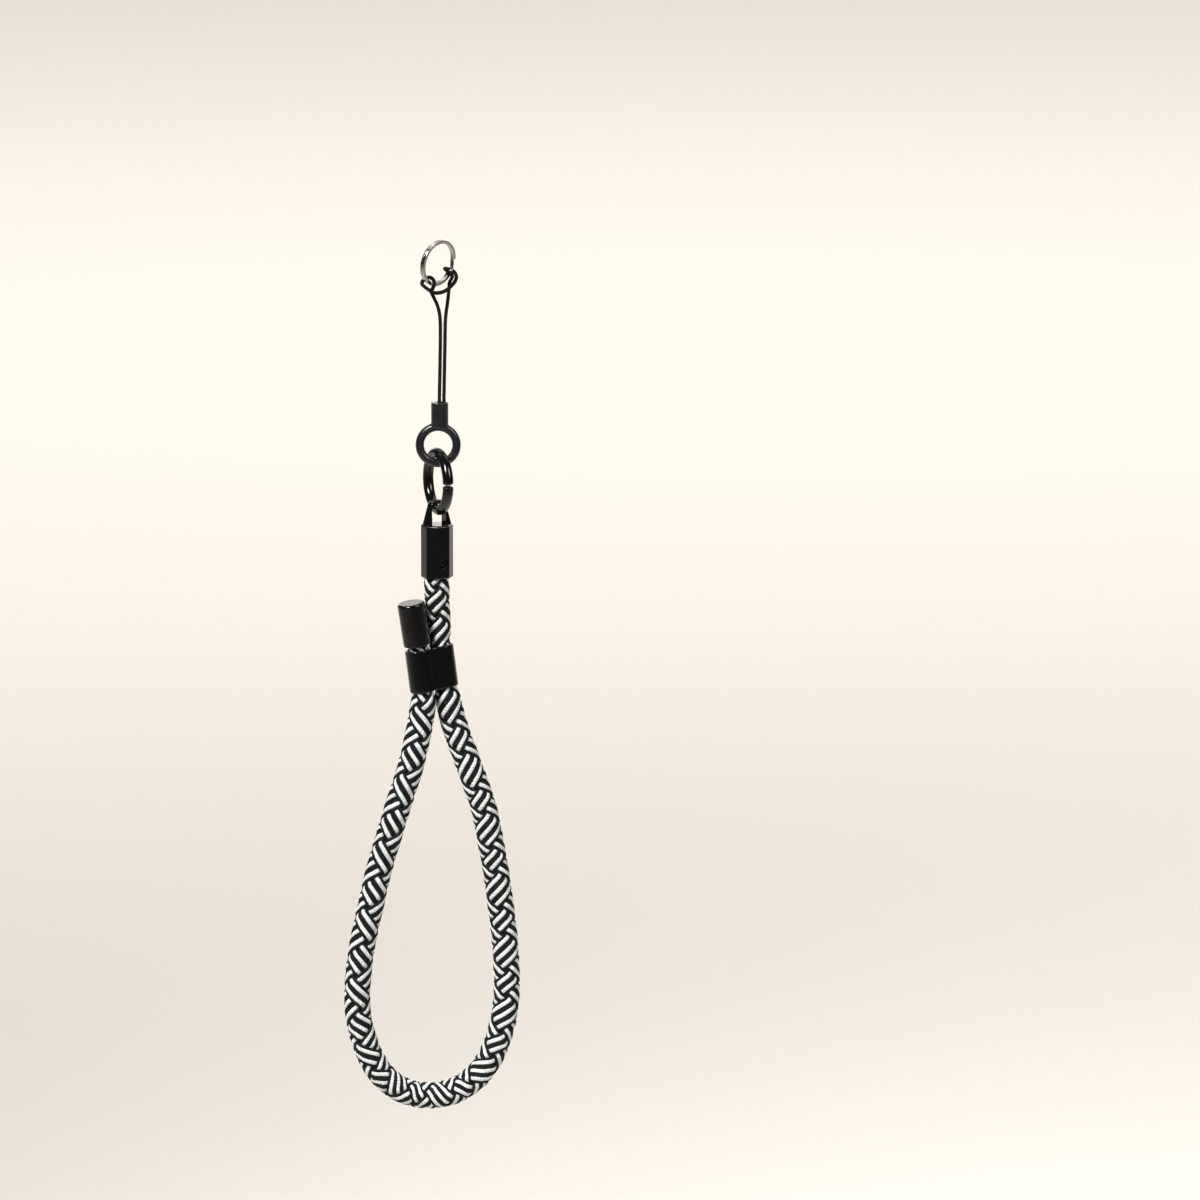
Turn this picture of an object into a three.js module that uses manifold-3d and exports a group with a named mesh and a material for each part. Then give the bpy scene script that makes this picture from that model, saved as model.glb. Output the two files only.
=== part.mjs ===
// Rope camera wrist strap, hanging from its split ring.
// Millimetres, Z up, the wearer's view from -Y. The origin is the inner top of the split ring.
// Only the rope, the thin cord and the loose rings move on the real strap, so the part has no joints.

import * as THREE from "three";
import { mergeVertices } from "three/addons/utils/BufferGeometryUtils.js";
import Module from "manifold-3d";

const wasm = await Module();
wasm.setup();

// ---------------------------------------------------------------- driving dimensions

// Split ring: two flat-wire coils, one on the other, joined where the wire steps across.
const SPLIT_MEAN_RADIUS = 6.7;
const SPLIT_WIRE_RADIAL = 1.1;
const SPLIT_WIRE_AXIAL = 0.65;
const SPLIT_COIL_PITCH = 0.75;
const SPLIT_CENTRE = new THREE.Vector3(-2.19, -1.0, -5.66);
const SPLIT_AXIS = new THREE.Vector3(0.733, -0.659, -0.167).normalize();
const SPLIT_STEP_ANGLE = -78;
const SPLIT_STEP_SPAN = 18;

// Thin cord, hitched over the foot of the split ring.
const CORD_DIAMETER = 1.25;
const CORD_SIDES = 8;
const CORD_STEPS = 80;
const HITCH_LEFT = 24;
const HITCH_RIGHT = -54;
const LEG_SPACING = 1.4;
const LEG_X = -1.2;

// Cord eyelet: sleeve above, round eyelet below, moulded in one.
const SLEEVE_RADIUS = 2.65;
const SLEEVE_X = -1.8;
const SLEEVE_TOP = -49.0;
const SLEEVE_FOOT = -57.6;
const SLEEVE_BORE_RADIUS = 1.6;
const SLEEVE_BORE_DEPTH = 5;
const EYELET_MEAN_RADIUS = 5.65;
const EYELET_SECTION_RADIUS = 1.3;
const EYELET_CENTRE = new THREE.Vector3(-2.3, 0, -62.17);

// Jump ring through the eyelet and the ferrule's eye, butted at its near side.
const JUMP_MEAN_RADIUS = 8.8;
const JUMP_WIRE_RADIUS = 1.65;
const JUMP_CENTRE = new THREE.Vector3(-2.35, 0, -73.47);
const JUMP_YAW = -68.7;
const JUMP_GAP = 0.3;
const JUMP_END_CHAMFER = 0.75;

// Eye ferrule: octagonal barrel with a domed, tapering eye on top, flattened front and back.
const FERRULE_X = -2.74;
const FERRULE_YAW = 28;
const BARREL_FLATS = 9.2;
const BARREL_TOP = -86.75;
const BARREL_FOOT = -103.3;
const BARREL_TOP_CHAMFER = 0.5;
const BARREL_FOOT_CHAMFER = 0.3;
const BARREL_BORE_RADIUS = 3.75;
const BARREL_BORE_DEPTH = 9.5;
const EYE_BASE_RADIUS = 4.5;
const EYE_SHOULDER_RADIUS = 2.95;
const EYE_SHOULDER_HEIGHT = 5.6;
const EYE_HEIGHT = 7.75;
const EYE_BASE_THICKNESS = 3.5;
const EYE_TOP_THICKNESS = 2.5;
const EYE_SLOT_WIDTH = 4.7;
const EYE_SLOT_HEIGHT = 6.4;
const EYE_SLOT_CORNER = 1.0;

// Set screw in the barrel's near right flat, biting on the rope.
const SCREW_FLAT_ANGLE = FERRULE_YAW - 90;
const SCREW_Z = -98.4;
const SCREW_HOLE_RADIUS = 1.45;
const SCREW_RADIUS = 1.2;
const SCREW_RECESS = 0.4;
const SCREW_LENGTH = 1.9;
const SCREW_SOCKET_FLATS = 1.1;
const SCREW_SOCKET_DEPTH = 0.9;

// Rope: full size in the open, squeezed where a fitting grips it.
const ROPE_LOOP_RADIUS = 3.9;
const ROPE_UPPER_RADIUS = 3.8;
const ROPE_NECK_RADIUS = 3.1;
const ROPE_FERRULE_NECK_RADIUS = 3.4;
const ROPE_SIDES = 12;

// Slider: two lobes side by side, a hole through each.
const SLIDER_CENTRE = new THREE.Vector3(-4.52, 0, -131.7);
const SLIDER_LOBE_RADIUS = 4.1;
const SLIDER_HOLE_RADIUS = 3.45;
const SLIDER_HOLE_SPACING = 7.8;
const SLIDER_WAIST_HALF = 3.3;
const SLIDER_HEIGHT = 13.1;
const SLIDER_YAW = 30;
const SLIDER_LEAN = -7.2;
const SLIDER_BEVEL = 0.3;

// End cap on the free end of the rope.
const CAP_RADIUS = 4.25;
const CAP_LENGTH = 13.5;
const CAP_RIM = 0.6;
const CAP_BORE_RADIUS = 3.45;
const CAP_BORE_DEPTH = 11;
const CAP_FOOT = new THREE.Vector3(-8.85, -2.35, -124.0);
const CAP_TOP = new THREE.Vector3(-10.8, -3.55, -110.7);

// Centreline of the rope from inside the ferrule to inside the cap.
const ROPE_ROUTE = [
  [-2.7, 0.0, -94.5],
  [-2.8, 0.0, -104.0],
  [-2.8, 0.6, -110.5],
  [-2.5, 1.8, -118.0],
  [-2.0, 2.0, -125.0],
  [-1.2, 2.0, -131.3],
  [-0.3, 2.0, -137.8],
  [1.0, 2.2, -144.5],
  [3.5, 2.5, -153.5],
  [7.5, 2.9, -164.5],
  [11.5, 3.2, -176.5],
  [14.0, 3.3, -189.5],
  [16.1, 3.4, -203.0],
  [17.7, 3.2, -216.5],
  [18.5, 2.9, -229.0],
  [17.9, 2.4, -240.5],
  [15.0, 1.8, -251.5],
  [9.5, 1.0, -260.5],
  [2.0, 0.4, -265.4],
  [-6.0, -0.2, -266.7],
  [-14.0, -0.9, -264.8],
  [-20.5, -1.6, -259.5],
  [-25.0, -2.2, -251.0],
  [-27.5, -2.6, -241.0],
  [-27.7, -2.9, -230.0],
  [-26.3, -3.1, -219.0],
  [-23.8, -3.1, -207.0],
  [-21.0, -3.1, -195.0],
  [-17.6, -2.9, -183.0],
  [-13.8, -2.6, -171.0],
  [-10.2, -2.4, -159.0],
  [-7.8, -2.1, -147.5],
  [-7.0, -2.0, -138.7],
  [-7.9, -2.0, -132.1],
  [-8.7, -2.0, -125.7],
  [-9.2, -2.6, -121.5],
  [-10.3, -3.3, -113.8],
];

// ---------------------------------------------------------------- helpers

const DEG = Math.PI / 180;

function solid(geometry) {
  const bare = geometry.clone();
  bare.deleteAttribute("normal");
  bare.deleteAttribute("uv");
  const welded = mergeVertices(bare, 1e-4);
  const mesh = new wasm.Mesh({
    numProp: 3,
    vertProperties: new Float32Array(welded.attributes.position.array),
    triVerts: new Uint32Array(welded.index.array),
  });
  return new wasm.Manifold(mesh);
}

function geometryOf(manifold) {
  const mesh = manifold.getMesh();
  const geometry = new THREE.BufferGeometry();
  geometry.setAttribute("position", new THREE.BufferAttribute(new Float32Array(mesh.vertProperties), 3));
  geometry.setIndex(new THREE.BufferAttribute(new Uint32Array(mesh.triVerts), 1));
  geometry.computeVertexNormals();
  return geometry;
}

function named(name, geometry, material) {
  const mesh = new THREE.Mesh(geometry, material);
  mesh.name = name;
  return mesh;
}

function material(name, colour, roughness, metalness) {
  const made = new THREE.MeshStandardMaterial({ color: colour, roughness, metalness });
  made.name = name;
  return made;
}

// A closed body turned about its own Z axis from [radius, z] pairs that start and end on the axis.
function turned(profile, segments, startAngle = 0) {
  const points = profile.map(([radius, z]) => new THREE.Vector2(radius, z));
  const geometry = new THREE.LatheGeometry(points, segments, startAngle, Math.PI * 2);
  geometry.rotateX(Math.PI / 2);
  return geometry;
}

// A round tube along a centreline, closed at both ends; its steps follow the spacing of the points.
function tube(points, radius, sides, steps) {
  const outline = [];
  for (let i = 0; i < sides; i += 1) {
    const angle = (i * 2 * Math.PI) / sides;
    outline.push(new THREE.Vector2(radius * Math.cos(angle), radius * Math.sin(angle)));
  }
  const path = new THREE.CatmullRomCurve3(points, false, "catmullrom", 0.5);
  path.getPointAt = path.getPoint;
  path.getTangentAt = path.getTangent;
  return new THREE.ExtrudeGeometry(new THREE.Shape(outline), { steps, extrudePath: path });
}

// The matrix that stands a body built along Z on `foot` with its Z axis toward `top`.
function standing(foot, top) {
  const up = new THREE.Vector3().subVectors(top, foot).normalize();
  const turn = new THREE.Quaternion().setFromUnitVectors(new THREE.Vector3(0, 0, 1), up);
  return new THREE.Matrix4().compose(foot, turn, new THREE.Vector3(1, 1, 1));
}

// ---------------------------------------------------------------- split ring and hitched cord

// Directions in the split ring's own plane: `ringFoot` points to its lowest place.
const ringFoot = new THREE.Vector3(0, 0, -1).addScaledVector(SPLIT_AXIS, SPLIT_AXIS.z).normalize();
const ringSide = new THREE.Vector3().crossVectors(ringFoot, SPLIT_AXIS).normalize();

// A place near the ring's wire: degrees round from the foot, millimetres outward and along the axis.
function byRing(degrees, outward, along) {
  const radius = SPLIT_MEAN_RADIUS + outward;
  return SPLIT_CENTRE.clone()
    .addScaledVector(ringFoot, radius * Math.cos(degrees * DEG))
    .addScaledVector(ringSide, radius * Math.sin(degrees * DEG))
    .addScaledVector(SPLIT_AXIS, along);
}

function splitRing() {
  const turns = 720 - 2 * SPLIT_STEP_SPAN;
  const geometry = new THREE.BoxGeometry(turns, SPLIT_WIRE_RADIAL, SPLIT_WIRE_AXIAL, 96, 1, 1);
  const places = geometry.attributes.position;
  for (let i = 0; i < places.count; i += 1) {
    const along = places.getX(i);
    const step = THREE.MathUtils.smoothstep(along, -SPLIT_STEP_SPAN, SPLIT_STEP_SPAN);
    const across = places.getZ(i) + SPLIT_COIL_PITCH * (step - 0.5);
    const place = byRing(SPLIT_STEP_ANGLE + along, places.getY(i), across);
    places.setXYZ(i, place.x, place.y, place.z);
  }
  return geometryOf(solid(geometry));
}

function hitchedCord() {
  const middle = (HITCH_LEFT + HITCH_RIGHT) / 2;
  // One half of the hitch, from the middle of its bight to the leg below it.
  const half = (wrap, outward) => [
    byRing(middle + outward * 26, 2.35, 1.95),
    byRing(wrap + outward * 1, 2.2, 1.75),
    byRing(wrap + outward * 10, 1.95, 0.5),
    byRing(wrap + outward * 12, 1.4, -1.2),
    byRing(wrap + outward * 10, 0.0, -1.8),
    byRing(wrap + outward * 6, -1.4, -1.0),
    byRing(wrap + outward * 3, -1.6, 0.3),
    byRing(wrap, -0.9, 1.5),
    byRing(wrap - outward * 3, 0.3, 1.7),
    byRing(wrap - outward * 8, 1.4, 1.0),
    byRing(wrap - outward * 13, 2.5, 0.3),
  ];
  // A leg: from its wrap it runs in to meet the other, and both go down into the sleeve.
  const leg = (side) => [
    new THREE.Vector3(-1.2 + side * 2.2, 1.4 + side * 2.2, -15.9 + side * 0.7),
    new THREE.Vector3(-0.85 + side * 1.45, 1.3 + side * 0.8, -19.1 + side * 0.3),
    new THREE.Vector3(-0.8 + side * 0.8, 1.0 + side * 0.1, -23.5),
    new THREE.Vector3(-0.9 + (side * LEG_SPACING) / 2, 0.6, -33.0),
    new THREE.Vector3(LEG_X + (side * LEG_SPACING) / 2, 0, SLEEVE_TOP + 1),
    new THREE.Vector3(LEG_X + (side * LEG_SPACING) / 2, 0, SLEEVE_TOP - SLEEVE_BORE_DEPTH + 0.4),
  ];
  const left = [...half(HITCH_LEFT, 1), ...leg(-1)];
  const right = [...half(HITCH_RIGHT, -1), ...leg(1)];
  const route = [...left.reverse(), byRing(middle, 2.4, 1.95), ...right];
  return tube(route, CORD_DIAMETER / 2, CORD_SIDES, CORD_STEPS);
}

// ---------------------------------------------------------------- eyelet and jump ring

function cordEyelet() {
  const height = SLEEVE_TOP - SLEEVE_FOOT;
  const sleeve = turned([
    [0, 0],
    [1.5, 0],
    [SLEEVE_RADIUS, 1.4],
    [SLEEVE_RADIUS, height - 0.35],
    [SLEEVE_RADIUS - 0.35, height],
    [0, height],
  ], 24);
  sleeve.translate(SLEEVE_X, 0, SLEEVE_FOOT);
  const ring = new THREE.TorusGeometry(EYELET_MEAN_RADIUS, EYELET_SECTION_RADIUS, 12, 40);
  ring.rotateX(Math.PI / 2);
  ring.translate(EYELET_CENTRE.x, EYELET_CENTRE.y, EYELET_CENTRE.z);
  // The sleeve keeps clear of the eyelet's opening.
  const opening = turned([
    [0, -4],
    [EYELET_MEAN_RADIUS - EYELET_SECTION_RADIUS, -4],
    [EYELET_MEAN_RADIUS - EYELET_SECTION_RADIUS, 4],
    [0, 4],
  ], 40);
  opening.rotateX(Math.PI / 2);
  opening.translate(EYELET_CENTRE.x, EYELET_CENTRE.y, EYELET_CENTRE.z);
  const bore = turned([
    [0, 0],
    [SLEEVE_BORE_RADIUS, 0],
    [SLEEVE_BORE_RADIUS, SLEEVE_BORE_DEPTH + 1],
    [0, SLEEVE_BORE_DEPTH + 1],
  ], 20);
  bore.translate(LEG_X, 0, SLEEVE_TOP - SLEEVE_BORE_DEPTH);
  return geometryOf(solid(sleeve).subtract(solid(opening)).add(solid(ring)).subtract(solid(bore)));
}

function jumpRing() {
  const ring = new THREE.TorusGeometry(JUMP_MEAN_RADIUS, JUMP_WIRE_RADIUS, 14, 56);
  ring.rotateX(Math.PI / 2);
  // The gap between the butted ends, opening outward by their chamfers.
  const half = JUMP_GAP / 2;
  const inner = JUMP_WIRE_RADIUS - JUMP_END_CHAMFER;
  const outer = JUMP_WIRE_RADIUS + 0.2;
  const flare = outer - inner;
  const gap = turned([
    [0, -half],
    [inner, -half],
    [outer, -half - flare],
    [outer, half + flare],
    [inner, half],
    [0, half],
  ], 14);
  gap.translate(JUMP_MEAN_RADIUS, 0, 0);
  const geometry = geometryOf(solid(ring).subtract(solid(gap)));
  geometry.rotateZ(JUMP_YAW * DEG);
  geometry.translate(JUMP_CENTRE.x, JUMP_CENTRE.y, JUMP_CENTRE.z);
  return geometry;
}

// ---------------------------------------------------------------- ferrule and its screw

// A short cylinder lying along the screw's direction, `reach` millimetres out from the barrel's axis.
function alongScrew(radius, from, to, segments, startAngle = 0) {
  const body = turned([[0, from], [radius, from], [radius, to], [0, to]], segments, startAngle);
  body.rotateY(Math.PI / 2);
  body.rotateZ(SCREW_FLAT_ANGLE * DEG);
  body.translate(FERRULE_X, 0, SCREW_Z);
  return body;
}

function eyeFerrule() {
  const corner = BARREL_FLATS / 2 / Math.cos(Math.PI / 8);
  const height = BARREL_TOP - BARREL_FOOT;
  const barrel = turned([
    [0, 0],
    [corner - BARREL_FOOT_CHAMFER, 0],
    [corner, BARREL_FOOT_CHAMFER],
    [corner, height - BARREL_TOP_CHAMFER],
    [corner - BARREL_TOP_CHAMFER, height],
    [0, height],
  ], 8, Math.PI / 8);
  // The eye: a domed cone, cut flat front and back by a slab that thins upward.
  const cone = turned([
    [0, -1],
    [EYE_BASE_RADIUS, -1],
    [EYE_BASE_RADIUS, 0],
    [EYE_SHOULDER_RADIUS, EYE_SHOULDER_HEIGHT],
    [EYE_SHOULDER_RADIUS * 0.82, EYE_SHOULDER_HEIGHT + (EYE_HEIGHT - EYE_SHOULDER_HEIGHT) * 0.55],
    [EYE_SHOULDER_RADIUS * 0.5, EYE_SHOULDER_HEIGHT + (EYE_HEIGHT - EYE_SHOULDER_HEIGHT) * 0.88],
    [EYE_SHOULDER_RADIUS * 0.2, EYE_HEIGHT],
    [0, EYE_HEIGHT],
  ], 40);
  const slabShape = new THREE.Shape([
    new THREE.Vector2(-EYE_BASE_THICKNESS / 2, -2),
    new THREE.Vector2(EYE_BASE_THICKNESS / 2, -2),
    new THREE.Vector2(EYE_BASE_THICKNESS / 2, 0),
    new THREE.Vector2(EYE_TOP_THICKNESS / 2, EYE_HEIGHT + 1),
    new THREE.Vector2(-EYE_TOP_THICKNESS / 2, EYE_HEIGHT + 1),
    new THREE.Vector2(-EYE_BASE_THICKNESS / 2, 0),
  ]);
  const slab = new THREE.ExtrudeGeometry(slabShape, { depth: 12, bevelEnabled: false });
  slab.translate(0, 0, -6);
  slab.rotateX(Math.PI / 2);
  slab.rotateZ(Math.PI / 2);
  // Its slot, round-cornered under the bar.
  const slotHalf = EYE_SLOT_WIDTH / 2;
  const slotSpring = EYE_SLOT_HEIGHT - EYE_SLOT_CORNER;
  const slotShape = new THREE.Shape();
  slotShape.moveTo(-slotHalf, 0);
  slotShape.lineTo(slotHalf, 0);
  slotShape.absarc(slotHalf - EYE_SLOT_CORNER, slotSpring, EYE_SLOT_CORNER, 0, Math.PI / 2);
  slotShape.absarc(EYE_SLOT_CORNER - slotHalf, slotSpring, EYE_SLOT_CORNER, Math.PI / 2, Math.PI);
  slotShape.closePath();
  const slot = new THREE.ExtrudeGeometry(slotShape, { depth: 12, bevelEnabled: false, curveSegments: 4 });
  slot.rotateX(Math.PI / 2);
  slot.translate(0, 6, height);
  const eye = solid(cone).intersect(solid(slab));
  const bore = turned([
    [0, -1],
    [BARREL_BORE_RADIUS, -1],
    [BARREL_BORE_RADIUS, BARREL_BORE_DEPTH],
    [0, BARREL_BORE_DEPTH],
  ], 24);
  const stood = eye.translate([0, 0, height]);
  const whole = geometryOf(solid(barrel).add(stood).subtract(solid(slot)).subtract(solid(bore)));
  whole.rotateZ(FERRULE_YAW * DEG);
  whole.translate(FERRULE_X, 0, BARREL_FOOT);
  const screwHole = alongScrew(SCREW_HOLE_RADIUS, BARREL_BORE_RADIUS - 1, BARREL_FLATS, 20);
  return geometryOf(solid(whole).subtract(solid(screwHole)));
}

function grubScrew() {
  const outerEnd = BARREL_FLATS / 2 - SCREW_RECESS;
  const innerEnd = outerEnd - SCREW_LENGTH;
  const shank = alongScrew(SCREW_RADIUS, innerEnd, outerEnd, 20);
  const socketRadius = SCREW_SOCKET_FLATS / 2 / Math.cos(Math.PI / 6);
  const socket = alongScrew(socketRadius, outerEnd - SCREW_SOCKET_DEPTH, outerEnd + 1, 6);
  return geometryOf(solid(shank).subtract(solid(socket)));
}

// ---------------------------------------------------------------- rope

const ropeCurve = new THREE.CatmullRomCurve3(
  ROPE_ROUTE.map(([x, y, z]) => new THREE.Vector3(x, y, z)),
  false,
  "catmullrom",
  0.5,
);

// Points of the rope's centreline between two of its route points, counted from 0.
function ropePart(from, to, pieces) {
  const last = ROPE_ROUTE.length - 1;
  const points = [];
  for (let i = 0; i <= pieces; i += 1) {
    points.push(ropeCurve.getPoint((from + ((to - from) * i) / pieces) / last));
  }
  return points;
}

function rope() {
  const last = ROPE_ROUTE.length - 1;
  const core = tube(ropePart(0, last, last * 2), ROPE_NECK_RADIUS, ROPE_SIDES, 80);
  const ferruleNeck = tube(ropePart(0, 1, 4), ROPE_FERRULE_NECK_RADIUS, ROPE_SIDES, 4);
  const upper = tube(ropePart(0.97, 3.3, 8), ROPE_UPPER_RADIUS, ROPE_SIDES, 8);
  const loop = tube(ropePart(6.4, 31.65, 52), ROPE_LOOP_RADIUS, ROPE_SIDES, 60);
  const dimple = alongScrew(SCREW_RADIUS + 0.3, BARREL_FLATS / 2 - SCREW_RECESS - SCREW_LENGTH - 0.3, 6, 16);
  const whole = solid(core).add(solid(ferruleNeck)).add(solid(upper)).add(solid(loop));
  return geometryOf(whole.subtract(solid(dimple)));
}

// ---------------------------------------------------------------- slider and end cap

// Half of the slider's outline: a lobe, then the hollow of the waist, for x > 0 to x < 0.
function sliderOutline(grow) {
  const half = SLIDER_HOLE_SPACING / 2;
  const lobe = SLIDER_LOBE_RADIUS;
  const waist = SLIDER_WAIST_HALF;
  const hollow = (half * half + waist * waist - lobe * lobe) / (2 * (lobe - waist));
  const touch = Math.atan2(waist + hollow, -half);
  const points = [];
  const arc = (cx, cy, radius, from, to, pieces) => {
    for (let i = 0; i < pieces; i += 1) {
      const angle = from + ((to - from) * i) / pieces;
      points.push(new THREE.Vector2(cx + radius * Math.cos(angle), cy + radius * Math.sin(angle)));
    }
  };
  arc(half, 0, lobe + grow, -touch, touch, 20);
  arc(0, waist + hollow, hollow - grow, touch - Math.PI, -touch, 6);
  arc(-half, 0, lobe + grow, Math.PI - touch, Math.PI + touch, 20);
  arc(0, -waist - hollow, hollow - grow, Math.PI - touch, touch, 6);
  return points;
}

function slider() {
  const shape = new THREE.Shape(sliderOutline(-SLIDER_BEVEL));
  const body = new THREE.ExtrudeGeometry(shape, {
    depth: SLIDER_HEIGHT - 2 * SLIDER_BEVEL,
    bevelEnabled: true,
    bevelThickness: SLIDER_BEVEL,
    bevelSize: SLIDER_BEVEL,
    bevelSegments: 1,
  });
  body.translate(0, 0, SLIDER_BEVEL - SLIDER_HEIGHT / 2);
  let whole = solid(body);
  for (const side of [-1, 1]) {
    const hole = turned([
      [0, -SLIDER_HEIGHT],
      [SLIDER_HOLE_RADIUS, -SLIDER_HEIGHT],
      [SLIDER_HOLE_RADIUS, SLIDER_HEIGHT],
      [0, SLIDER_HEIGHT],
    ], 28);
    hole.translate((side * SLIDER_HOLE_SPACING) / 2, 0, 0);
    whole = whole.subtract(solid(hole));
  }
  const geometry = geometryOf(whole);
  geometry.rotateZ(SLIDER_YAW * DEG);
  geometry.rotateY(SLIDER_LEAN * DEG);
  geometry.translate(SLIDER_CENTRE.x, SLIDER_CENTRE.y, SLIDER_CENTRE.z);
  return geometry;
}

function endCap() {
  const geometry = turned([
    [0, CAP_BORE_DEPTH],
    [CAP_BORE_RADIUS, CAP_BORE_DEPTH],
    [CAP_BORE_RADIUS, 0],
    [CAP_RADIUS - 0.25, 0],
    [CAP_RADIUS, 0.25],
    [CAP_RADIUS, CAP_LENGTH - CAP_RIM],
    [CAP_RADIUS - CAP_RIM * 0.3, CAP_LENGTH - CAP_RIM * 0.3],
    [CAP_RADIUS - CAP_RIM, CAP_LENGTH],
    [0, CAP_LENGTH],
  ], 32);
  geometry.applyMatrix4(standing(CAP_FOOT, CAP_TOP));
  return geometryOf(solid(geometry));
}

// ---------------------------------------------------------------- the part

const brightSteel = material("bright_steel", 0xc9ccd0, 0.22, 1.0);
const blackMetal = material("black_metal", 0x1c1b1a, 0.28, 0.9);
const blackSatin = material("black_satin", 0x1f2021, 0.42, 0.2);
const blackCord = material("black_cord", 0x16171a, 0.85, 0.0);
const ropeYarn = material("rope_yarn", 0x8e9296, 0.9, 0.0);

const part = new THREE.Group();
part.name = "rope_wrist_strap";
part.add(named("split_ring", splitRing(), brightSteel));
part.add(named("cord_loop", hitchedCord(), blackCord));
part.add(named("cord_eyelet", cordEyelet(), blackSatin));
part.add(named("jump_ring", jumpRing(), blackMetal));
part.add(named("eye_ferrule", eyeFerrule(), blackMetal));
part.add(named("grub_screw", grubScrew(), blackMetal));
part.add(named("rope", rope(), ropeYarn));
part.add(named("slider", slider(), blackSatin));
part.add(named("end_cap", endCap(), blackSatin));

export default part;
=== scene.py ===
from math import atan2, cos, floor, hypot, pi, radians, sin

import bmesh
import bpy
import numpy as np
from bpy.props import FloatProperty, FloatVectorProperty, PointerProperty
from bpy.types import Operator, Panel, PropertyGroup
from mathutils import Matrix, Vector


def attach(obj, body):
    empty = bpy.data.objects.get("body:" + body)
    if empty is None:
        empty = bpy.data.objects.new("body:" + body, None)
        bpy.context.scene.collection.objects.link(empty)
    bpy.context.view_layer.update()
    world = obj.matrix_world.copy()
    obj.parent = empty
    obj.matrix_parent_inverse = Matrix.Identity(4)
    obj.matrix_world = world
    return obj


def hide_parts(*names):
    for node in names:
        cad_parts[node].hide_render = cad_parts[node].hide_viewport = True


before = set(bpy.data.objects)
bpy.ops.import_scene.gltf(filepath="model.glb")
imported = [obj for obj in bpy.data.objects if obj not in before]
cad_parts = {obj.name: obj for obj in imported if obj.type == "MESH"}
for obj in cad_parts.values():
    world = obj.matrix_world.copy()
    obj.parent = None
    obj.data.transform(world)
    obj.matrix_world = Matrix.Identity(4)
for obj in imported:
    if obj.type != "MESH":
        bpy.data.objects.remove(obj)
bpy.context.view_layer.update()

bl_info = {
    "name": "Rope Wrist Strap",
    "version": (1, 0, 0),
    "blender": (4, 5, 0),
    "location": "View3D > Sidebar > Wrist Strap",
    "description": "Builds a braided rope camera wrist strap, its fittings, lights and floor",
    "category": "Add Mesh",
}

MM = 0.001
TINY = 1e-6
APPLIED = {"location": True, "rotation": True, "scale": True}
TOWARD_WEARER = Vector((0, -1, 0))

# ---- places shared with the CAD

SPLIT_CENTRE = Vector((-2.19, -1.0, -5.66)) * MM
SPLIT_AXIS = Vector((0.733, -0.659, -0.167)).normalized()
SPLIT_FOOT = (Vector((0, 0, -1)) + SPLIT_AXIS * SPLIT_AXIS.z).normalized()
SPLIT_SIDE = SPLIT_FOOT.cross(SPLIT_AXIS).normalized()
SPLIT_STEP_ANGLE = -78
SPLIT_STEP_SPAN = 18

HITCH_LEFT = 24
HITCH_RIGHT = -54
LEG_SPACING = 1.4
LEG_X = -1.2
SLEEVE_X = -1.8
SLEEVE_TOP = -49.0
SLEEVE_FOOT = -57.6
SLEEVE_BORE_DEPTH = 5
EYELET_CENTRE = Vector((-2.3, 0, -62.17)) * MM

JUMP_CENTRE = Vector((-2.35, 0, -73.47)) * MM
JUMP_YAW = -68.7

FERRULE_FOOT = Vector((-2.74, 0, -103.3)) * MM
FERRULE_YAW = 28
BARREL_HEIGHT = 16.55
SCREW_HEIGHT = 4.9

SLIDER_CENTRE = Vector((-4.52, 0, -131.7)) * MM
SLIDER_YAW = 30
SLIDER_LEAN = -7.2

CAP_FOOT = Vector((-8.85, -2.35, -124.0)) * MM
CAP_TOP = Vector((-10.8, -3.55, -110.7)) * MM

# The rope is laid out in millimetres. Its route goes from inside the ferrule to inside the cap.
ROPE_ROUTE = (
    (-2.7, 0.0, -94.5), (-2.8, 0.0, -104.0), (-2.8, 0.6, -110.5), (-2.5, 1.8, -118.0),
    (-2.0, 2.0, -125.0), (-1.2, 2.0, -131.3), (-0.3, 2.0, -137.8), (1.0, 2.2, -144.5),
    (3.5, 2.5, -153.5), (7.5, 2.9, -164.5), (11.5, 3.2, -176.5), (14.0, 3.3, -189.5),
    (16.1, 3.4, -203.0), (17.7, 3.2, -216.5), (18.5, 2.9, -229.0), (17.9, 2.4, -240.5),
    (15.0, 1.8, -251.5), (9.5, 1.0, -260.5), (2.0, 0.4, -265.4), (-6.0, -0.2, -266.7),
    (-14.0, -0.9, -264.8), (-20.5, -1.6, -259.5), (-25.0, -2.2, -251.0), (-27.5, -2.6, -241.0),
    (-27.7, -2.9, -230.0), (-26.3, -3.1, -219.0), (-23.8, -3.1, -207.0), (-21.0, -3.1, -195.0),
    (-17.6, -2.9, -183.0), (-13.8, -2.6, -171.0), (-10.2, -2.4, -159.0), (-7.8, -2.1, -147.5),
    (-7.0, -2.0, -138.7), (-7.9, -2.0, -132.1), (-8.7, -2.0, -125.7), (-9.2, -2.6, -121.5),
    (-10.3, -3.3, -113.8),
)

# The plait's outer radius along the route, counted in route points.
ROPE_SIZES = (
    (0.0, 3.6), (0.9, 3.6), (1.12, 4.0), (3.3, 4.0), (3.85, 3.25), (6.02, 3.25), (6.5, 4.18),
    (31.55, 4.18), (31.98, 3.25), (36.0, 3.25),
)

# Where the wrist loop starts on the cap's side, in route points. Distances below are from there.
LOOP_START = 31.69

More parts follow.
